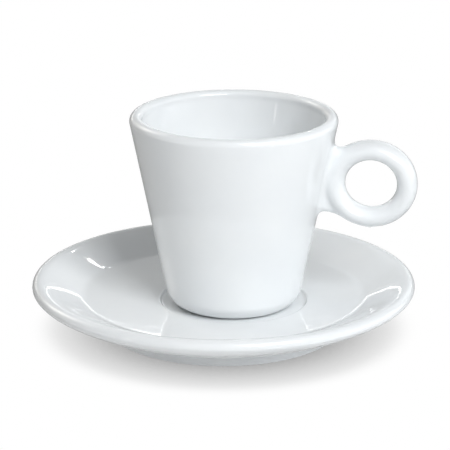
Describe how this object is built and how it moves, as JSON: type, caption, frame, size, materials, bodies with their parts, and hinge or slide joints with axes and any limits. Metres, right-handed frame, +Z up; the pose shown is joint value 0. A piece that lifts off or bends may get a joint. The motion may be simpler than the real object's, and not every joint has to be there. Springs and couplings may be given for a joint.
{
  "type": "coffee cup with saucer",
  "caption": "Conical glazed porcelain coffee cup with a ring handle, standing in the well of a round saucer with a rolled rim; it holds a short hot drink and lifts off.",
  "frame": {"origin": "middle of the saucer's foot ring, on the surface that it stands on", "axes": "+Z up, +X towards the side where the cup's handle stands out, +Y to the left of that"},
  "size_m": [0.1201, 0.12, 0.069],
  "materials": {
    "saucer_porcelain": "clear glossy glaze over white porcelain, bare on the underside of the foot ring",
    "cup_porcelain": "clear glossy glaze over white porcelain, bare on the underside of the foot ring"
  },
  "bodies": {
    "saucer": {"saucer": "saucer_porcelain"},
    "cup": {"cup_body": "cup_porcelain", "cup_handle": "cup_porcelain"}
  },
  "joints": [
    {"name": "cup_lift", "type": "slide", "parent": "saucer", "child": "cup", "axis": [0, 0, 1], "range_m": [0, 0.08]}
  ]
}
